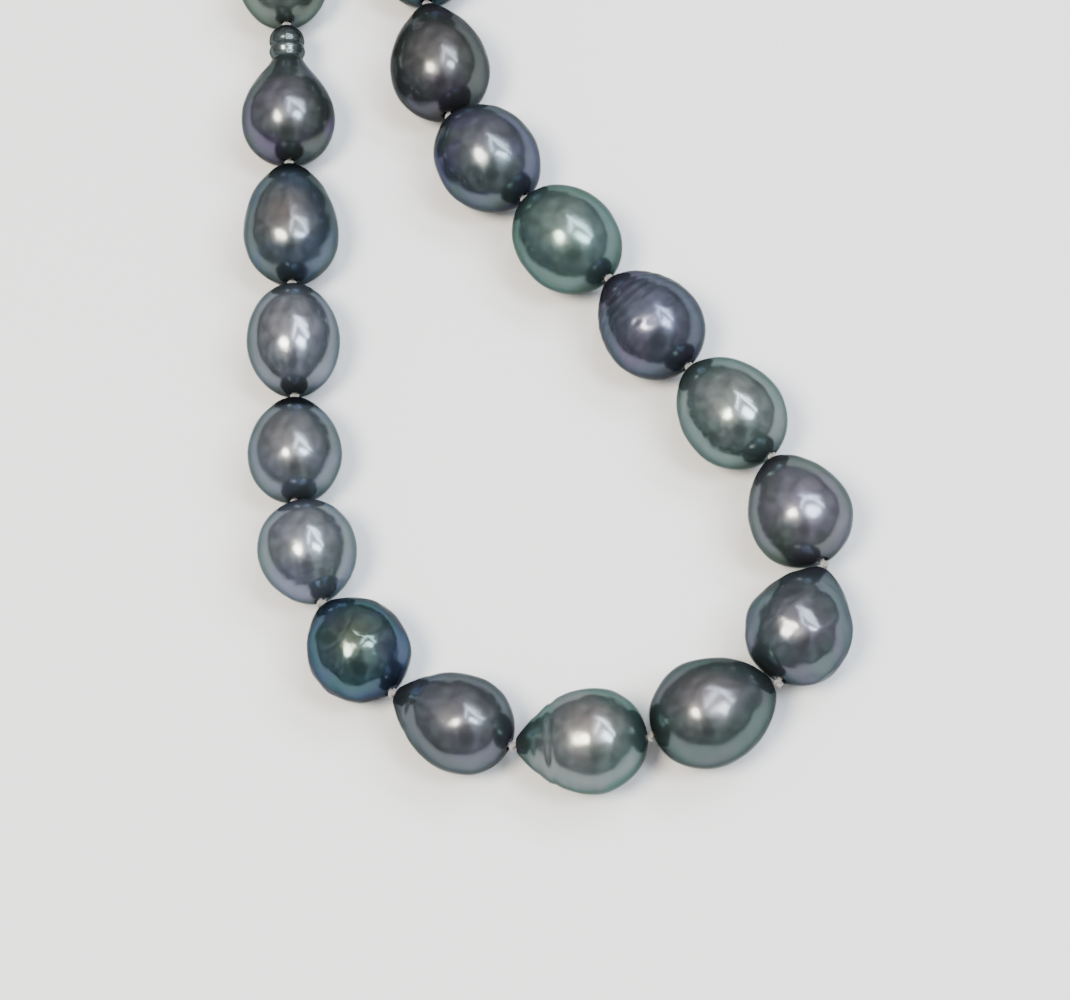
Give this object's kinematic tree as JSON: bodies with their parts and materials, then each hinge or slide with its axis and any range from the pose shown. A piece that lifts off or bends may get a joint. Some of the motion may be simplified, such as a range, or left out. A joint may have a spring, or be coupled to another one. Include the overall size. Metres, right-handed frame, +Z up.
{
  "type": "pearl necklace",
  "caption": "Knotted strand of dark drop and baroque pearls on silk, with wire loops, a lobster clasp and an end ring, lying unclasped in a long loop.",
  "frame": {"origin": "on the table surface under the middle of the strand's bounding box", "axes": "+Z up from the table, +Y along the loop from its largest pearl towards the clasp ends, +X to the side of the end ring"},
  "size_m": [0.1088, 0.193, 0.0134],
  "materials": {
    "pearl_charcoal": "gloss",
    "pearl_green": "gloss",
    "pearl_silver": "gloss",
    "pearl_peacock": "gloss",
    "pearl_aubergine": "gloss",
    "silk": "matte",
    "white_gold_wire": "satin",
    "white_gold": "polished"
  },
  "bodies": {
    "silk_01": {"silk_01": "silk"},
    "pearl_01": {"pearl_01": "pearl_peacock"},
    "silk_02": {"silk_02": "silk"},
    "pearl_02": {"pearl_02": "pearl_green"},
    "silk_03": {"silk_03": "silk"},
    "pearl_03": {"pearl_03": "pearl_aubergine"},
    "silk_04": {"silk_04": "silk"},
    "pearl_04": {"pearl_04": "pearl_charcoal"},
    "silk_05": {"silk_05": "silk"},
    "pearl_05": {"pearl_05": "pearl_aubergine"},
    "silk_06": {"silk_06": "silk"},
    "pearl_06": {"pearl_06": "pearl_aubergine"},
    "silk_07": {"silk_07": "silk"},
    "pearl_07": {"pearl_07": "pearl_aubergine"},
    "silk_08": {"silk_08": "silk"},
    "pearl_08": {"pearl_08": "pearl_silver"},
    "silk_09": {"silk_09": "silk"},
    "pearl_09": {"pearl_09": "pearl_silver"},
    "silk_10": {"silk_10": "silk"},
    "pearl_10": {"pearl_10": "pearl_silver"},
    "silk_11": {"silk_11": "silk"},
    "pearl_11": {"pearl_11": "pearl_peacock"},
    "silk_12": {"silk_12": "silk"},
    "pearl_12": {"pearl_12": "pearl_aubergine"},
    "silk_13": {"silk_13": "silk"},
    "pearl_13": {"pearl_13": "pearl_green"},
    "silk_14": {"silk_14": "silk"},
    "pearl_14": {"pearl_14": "pearl_charcoal"},
    "silk_15": {"silk_15": "silk"},
    "pearl_15": {"pearl_15": "pearl_aubergine"},
    "silk_16": {"silk_16": "silk"},
    "pearl_16": {"pearl_16": "pearl_silver"},
    "silk_17": {"silk_17": "silk"},
    "pearl_17": {"pearl_17": "pearl_green"},
    "silk_18": {"silk_18": "silk"},
    "pearl_18": {"pearl_18": "pearl_aubergine"},
    "silk_19": {"silk_19": "silk"},
    "pearl_19": {"pearl_19": "pearl_green"},
    "silk_20": {"silk_20": "silk"},
    "pearl_20": {"pearl_20": "pearl_charcoal"},
    "silk_21": {"silk_21": "silk"},
    "pearl_21": {"pearl_21": "pearl_charcoal"},
    "silk_22": {"silk_22": "silk"},
    "pearl_22": {"pearl_22": "pearl_peacock"},
    "silk_23": {"silk_23": "silk"},
    "pearl_23": {"pearl_23": "pearl_aubergine"},
    "silk_24": {"silk_24": "silk"},
    "pearl_24": {"pearl_24": "pearl_green"},
    "silk_25": {"silk_25": "silk"},
    "pearl_25": {"pearl_25": "pearl_charcoal"},
    "silk_26": {"silk_26": "silk"},
    "pearl_26": {"pearl_26": "pearl_silver"},
    "silk_27": {"silk_27": "silk"},
    "pearl_27": {"pearl_27": "pearl_aubergine"},
    "french_wire_left": {"french_wire_left": "white_gold_wire"},
    "french_wire_right": {"french_wire_right": "white_gold_wire"},
    "clasp_body": {"clasp_body": "white_gold", "clasp_lever_pin": "white_gold"},
    "clasp_lever": {"clasp_lever": "white_gold"},
    "end_ring": {"end_ring": "white_gold"}
  },
  "joints": [
    {"name": "knot_13_14_lift", "type": "hinge", "parent": "silk_14", "child": "silk_13", "pos_m": [-0.00401, -0.09054, 0.0067], "axis": [0.0698, 0.9976, 0], "range_deg": [0, 30]},
    {"name": "knot_12_13_bend", "type": "hinge", "parent": "silk_13", "child": "silk_12", "pos_m": [-0.02032, -0.08648, 0.0061], "axis": [0, 0, 1], "range_deg": [-2, 60]},
    {"name": "knot_11_12_lift", "type": "hinge", "parent": "silk_12", "child": "silk_11", "pos_m": [-0.03269, -0.07572, 0.0062], "axis": [0.8141, 0.5807, 0], "range_deg": [0, 33]},
    {"name": "knot_10_11_bend", "type": "hinge", "parent": "silk_11", "child": "silk_10", "pos_m": [-0.03824, -0.062, 0.0065], "axis": [0, 0, -1], "range_deg": [-55, 3]},
    {"name": "knot_09_10_lift", "type": "hinge", "parent": "silk_10", "child": "silk_09", "pos_m": [-0.03824, -0.0479, 0.0061], "axis": [0.9925, -0.1219, 0], "range_deg": [0, 20]},
    {"name": "knot_08_09_bend", "type": "hinge", "parent": "silk_09", "child": "silk_08", "pos_m": [-0.03475, -0.03392, 0.0059], "axis": [0, 0, 1], "range_deg": [-5, 24]},
    {"name": "knot_07_08_lift", "type": "hinge", "parent": "silk_08", "child": "silk_07", "pos_m": [-0.03122, -0.01863, 0.0062], "axis": [0.9744, -0.225, 0], "range_deg": [0, 25]},
    {"name": "knot_06_07_bend", "type": "hinge", "parent": "silk_07", "child": "silk_06", "pos_m": [-0.02733, -0.00177, 0.0063], "axis": [0, 0, 1], "range_deg": [-11, 24]},
    {"name": "knot_05_06_lift", "type": "hinge", "parent": "silk_06", "child": "silk_05", "pos_m": [-0.02267, 0.0184, 0.0061], "axis": [0.9799, -0.1994, 0], "range_deg": [0, 24]},
    {"name": "knot_04_05_bend", "type": "hinge", "parent": "silk_05", "child": "silk_04", "pos_m": [-0.02021, 0.03238, 0.0061], "axis": [0, 0, 1], "range_deg": [-35, 13]},
    {"name": "knot_03_04_lift", "type": "hinge", "parent": "silk_04", "child": "silk_03", "pos_m": [-0.02069, 0.04627, 0.0059], "axis": [0.9877, 0.1564, 0], "range_deg": [0, 20]},
    {"name": "knot_02_03_bend", "type": "hinge", "parent": "silk_03", "child": "silk_02", "pos_m": [-0.02444, 0.05935, 0.0059], "axis": [0, 0, 1], "range_deg": [-35, 11]},
    {"name": "knot_01_02_lift", "type": "hinge", "parent": "silk_02", "child": "silk_01", "pos_m": [-0.03109, 0.07087, 0.0057], "axis": [0.809, 0.5878, 0], "range_deg": [0, 21]},
    {"name": "knot_14_15_lift", "type": "hinge", "parent": "silk_14", "child": "silk_15", "pos_m": [0.01259, -0.0888, 0.0067], "axis": [0.4848, -0.8746, 0], "range_deg": [0, 20]},
    {"name": "knot_15_16_bend", "type": "hinge", "parent": "silk_15", "child": "silk_16", "pos_m": [0.02257, -0.07603, 0.0064], "axis": [0, 0, -1], "range_deg": [-3, 60]},
    {"name": "knot_16_17_lift", "type": "hinge", "parent": "silk_16", "child": "silk_17", "pos_m": [0.02068, -0.06065, 0.0066], "axis": [0.9659, 0.2588, 0], "range_deg": [0, 21]},
    {"name": "knot_17_18_bend", "type": "hinge", "parent": "silk_17", "child": "silk_18", "pos_m": [0.01439, -0.04583, 0.0064], "axis": [0, 0, 1], "range_deg": [-24, 5]},
    {"name": "knot_18_19_lift", "type": "hinge", "parent": "silk_18", "child": "silk_19", "pos_m": [0.00814, -0.0311, 0.0067], "axis": [0.9063, 0.4226, 0], "range_deg": [0, 26]},
    {"name": "knot_19_20_bend", "type": "hinge", "parent": "silk_19", "child": "silk_20", "pos_m": [0.00087, -0.01684, 0.0066], "axis": [0, 0, -1], "range_deg": [-8, 20]},
    {"name": "knot_20_21_lift", "type": "hinge", "parent": "silk_20", "child": "silk_21", "pos_m": [-0.0053, -0.0023, 0.0068], "axis": [0.9877, 0.1564, 0], "range_deg": [0, 26]},
    {"name": "knot_21_22_bend", "type": "hinge", "parent": "silk_21", "child": "silk_22", "pos_m": [-0.00378, 0.01513, 0.0064], "axis": [0, 0, -1], "range_deg": [-24, 18]},
    {"name": "knot_22_23_lift", "type": "hinge", "parent": "silk_22", "child": "silk_23", "pos_m": [-0.0007, 0.02961, 0.0063], "axis": [0.9511, -0.309, 0], "range_deg": [0, 22]},
    {"name": "knot_23_24_bend", "type": "hinge", "parent": "silk_23", "child": "silk_24", "pos_m": [0.00516, 0.04277, 0.0062], "axis": [0, 0, -1], "range_deg": [-34, 14]},
    {"name": "knot_24_25_lift", "type": "hinge", "parent": "silk_24", "child": "silk_25", "pos_m": [0.01325, 0.05432, 0.0061], "axis": [0.7716, -0.6361, 0], "range_deg": [0, 23]},
    {"name": "knot_25_26_bend", "type": "hinge", "parent": "silk_25", "child": "silk_26", "pos_m": [0.02283, 0.06424, 0.006], "axis": [0, 0, -1], "range_deg": [-30, 17]},
    {"name": "knot_26_27_lift", "type": "hinge", "parent": "silk_26", "child": "silk_27", "pos_m": [0.03332, 0.07274, 0.0059], "axis": [0.5948, -0.8039, 0], "range_deg": [0, 24]},
    {"name": "pearl_01_spin", "type": "hinge", "parent": "silk_01", "child": "pearl_01", "pos_m": [-0.03109, 0.07087, 0.0057], "axis": [-0.6691, 0.7431, 0], "continuous": true},
    {"name": "pearl_02_spin", "type": "hinge", "parent": "silk_02", "child": "pearl_02", "pos_m": [-0.02444, 0.05935, 0.0059], "axis": [-0.4999, 0.8659, -0.015], "continuous": true},
    {"name": "pearl_03_spin", "type": "hinge", "parent": "silk_03", "child": "pearl_03", "pos_m": [-0.02069, 0.04627, 0.0059], "axis": [-0.2756, 0.9613, 0], "continuous": true},
    {"name": "pearl_04_spin", "type": "hinge", "parent": "silk_04", "child": "pearl_04", "pos_m": [-0.02021, 0.03238, 0.0061], "axis": [-0.0349, 0.9993, -0.0144], "continuous": true},
    {"name": "pearl_05_spin", "type": "hinge", "parent": "silk_05", "child": "pearl_05", "pos_m": [-0.02267, 0.0184, 0.0061], "axis": [0.1736, 0.9848, 0], "continuous": true},
    {"name": "pearl_06_spin", "type": "hinge", "parent": "silk_06", "child": "pearl_06", "pos_m": [-0.02733, -0.00177, 0.0063], "axis": [0.2249, 0.9743, -0.0097], "continuous": true},
    {"name": "pearl_07_spin", "type": "hinge", "parent": "silk_07", "child": "pearl_07", "pos_m": [-0.03122, -0.01863, 0.0062], "axis": [0.2249, 0.9744, 0.0058], "continuous": true},
    {"name": "pearl_08_spin", "type": "hinge", "parent": "silk_08", "child": "pearl_08", "pos_m": [-0.03475, -0.03392, 0.0059], "axis": [0.2249, 0.9742, 0.0191], "continuous": true},
    {"name": "pearl_09_spin", "type": "hinge", "parent": "silk_09", "child": "pearl_09", "pos_m": [-0.03824, -0.0479, 0.0061], "axis": [0.2419, 0.9702, -0.0139], "continuous": true},
    {"name": "pearl_10_spin", "type": "hinge", "parent": "silk_10", "child": "pearl_10", "pos_m": [-0.03824, -0.062, 0.0065], "axis": [0, 0.9996, -0.0284], "continuous": true},
    {"name": "pearl_11_spin", "type": "hinge", "parent": "silk_11", "child": "pearl_11", "pos_m": [-0.03269, -0.07572, 0.0062], "axis": [-0.3745, 0.927, 0.0203], "continuous": true},
    {"name": "pearl_12_spin", "type": "hinge", "parent": "silk_12", "child": "pearl_12", "pos_m": [-0.02032, -0.08648, 0.0061], "axis": [-0.7547, 0.656, 0.0061], "continuous": true},
    {"name": "pearl_13_spin", "type": "hinge", "parent": "silk_13", "child": "pearl_13", "pos_m": [-0.00401, -0.09054, 0.0067], "axis": [-0.9697, 0.2418, -0.0357], "continuous": true},
    {"name": "pearl_14_spin", "type": "hinge", "parent": "silk_14", "child": "pearl_14", "pos_m": [-0.00401, -0.09054, 0.0067], "axis": [0.9945, 0.1045, 0], "continuous": true},
    {"name": "pearl_15_spin", "type": "hinge", "parent": "silk_15", "child": "pearl_15", "pos_m": [0.01259, -0.0888, 0.0067], "axis": [0.6156, 0.7879, -0.0185], "continuous": true},
    {"name": "pearl_16_spin", "type": "hinge", "parent": "silk_16", "child": "pearl_16", "pos_m": [0.02257, -0.07603, 0.0064], "axis": [-0.1219, 0.9925, 0.0129], "continuous": true},
    {"name": "pearl_17_spin", "type": "hinge", "parent": "silk_17", "child": "pearl_17", "pos_m": [0.02068, -0.06065, 0.0066], "axis": [-0.3907, 0.9204, -0.0124], "continuous": true},
    {"name": "pearl_18_spin", "type": "hinge", "parent": "silk_18", "child": "pearl_18", "pos_m": [0.01439, -0.04583, 0.0064], "axis": [-0.3907, 0.9203, 0.0187], "continuous": true},
    {"name": "pearl_19_spin", "type": "hinge", "parent": "silk_19", "child": "pearl_19", "pos_m": [0.00814, -0.0311, 0.0067], "axis": [-0.454, 0.891, -0.0062], "continuous": true},
    {"name": "pearl_20_spin", "type": "hinge", "parent": "silk_20", "child": "pearl_20", "pos_m": [0.00087, -0.01684, 0.0066], "axis": [-0.3907, 0.9204, 0.0127], "continuous": true},
    {"name": "pearl_21_spin", "type": "hinge", "parent": "silk_21", "child": "pearl_21", "pos_m": [-0.0053, -0.0023, 0.0068], "axis": [0.0871, 0.9959, -0.0229], "continuous": true},
    {"name": "pearl_22_spin", "type": "hinge", "parent": "silk_22", "child": "pearl_22", "pos_m": [-0.00378, 0.01513, 0.0064], "axis": [0.2079, 0.9781, -0.0068], "continuous": true},
    {"name": "pearl_23_spin", "type": "hinge", "parent": "silk_23", "child": "pearl_23", "pos_m": [-0.0007, 0.02961, 0.0063], "axis": [0.4067, 0.9135, -0.0069], "continuous": true},
    {"name": "pearl_24_spin", "type": "hinge", "parent": "silk_24", "child": "pearl_24", "pos_m": [0.00516, 0.04277, 0.0062], "axis": [0.5736, 0.8191, -0.0071], "continuous": true},
    {"name": "pearl_25_spin", "type": "hinge", "parent": "silk_25", "child": "pearl_25", "pos_m": [0.01325, 0.05432, 0.0061], "axis": [0.6946, 0.7193, -0.0072], "continuous": true},
    {"name": "pearl_26_spin", "type": "hinge", "parent": "silk_26", "child": "pearl_26", "pos_m": [0.02283, 0.06424, 0.006], "axis": [0.7771, 0.6293, -0.0074], "continuous": true},
    {"name": "pearl_27_spin", "type": "hinge", "parent": "silk_27", "child": "pearl_27", "pos_m": [0.03332, 0.07274, 0.0059], "axis": [0.829, 0.5592, -0.0076], "continuous": true},
    {"name": "french_wire_left_lift", "type": "hinge", "parent": "silk_01", "child": "french_wire_left", "pos_m": [-0.03979, 0.08053, 0.0057], "axis": [0.7431, 0.6691, 0], "range_deg": [0, 50]},
    {"name": "french_wire_right_lift", "type": "hinge", "parent": "silk_27", "child": "french_wire_right", "pos_m": [0.04427, 0.08012, 0.0058], "axis": [0.5592, -0.829, 0], "range_deg": [0, 50]},
    {"name": "clasp_swing", "type": "hinge", "parent": "french_wire_left", "child": "clasp_body", "pos_m": [-0.04436, 0.0856, 0.0015], "axis": [0, 0, 1], "range_deg": [-25, 25]},
    {"name": "clasp_lever_squeeze", "type": "hinge", "parent": "clasp_body", "child": "clasp_lever", "pos_m": [-0.04892, 0.08843, 0.0015], "axis": [0, 0, -1], "range_deg": [0, 18], "stiffness_Nm_per_rad": 0.002},
    {"name": "end_ring_swing", "type": "hinge", "parent": "french_wire_right", "child": "end_ring", "pos_m": [0.05003, 0.08401, 0.00131], "axis": [0.149, 0.1005, 0.9837], "range_deg": [-25, 25]}
  ]
}
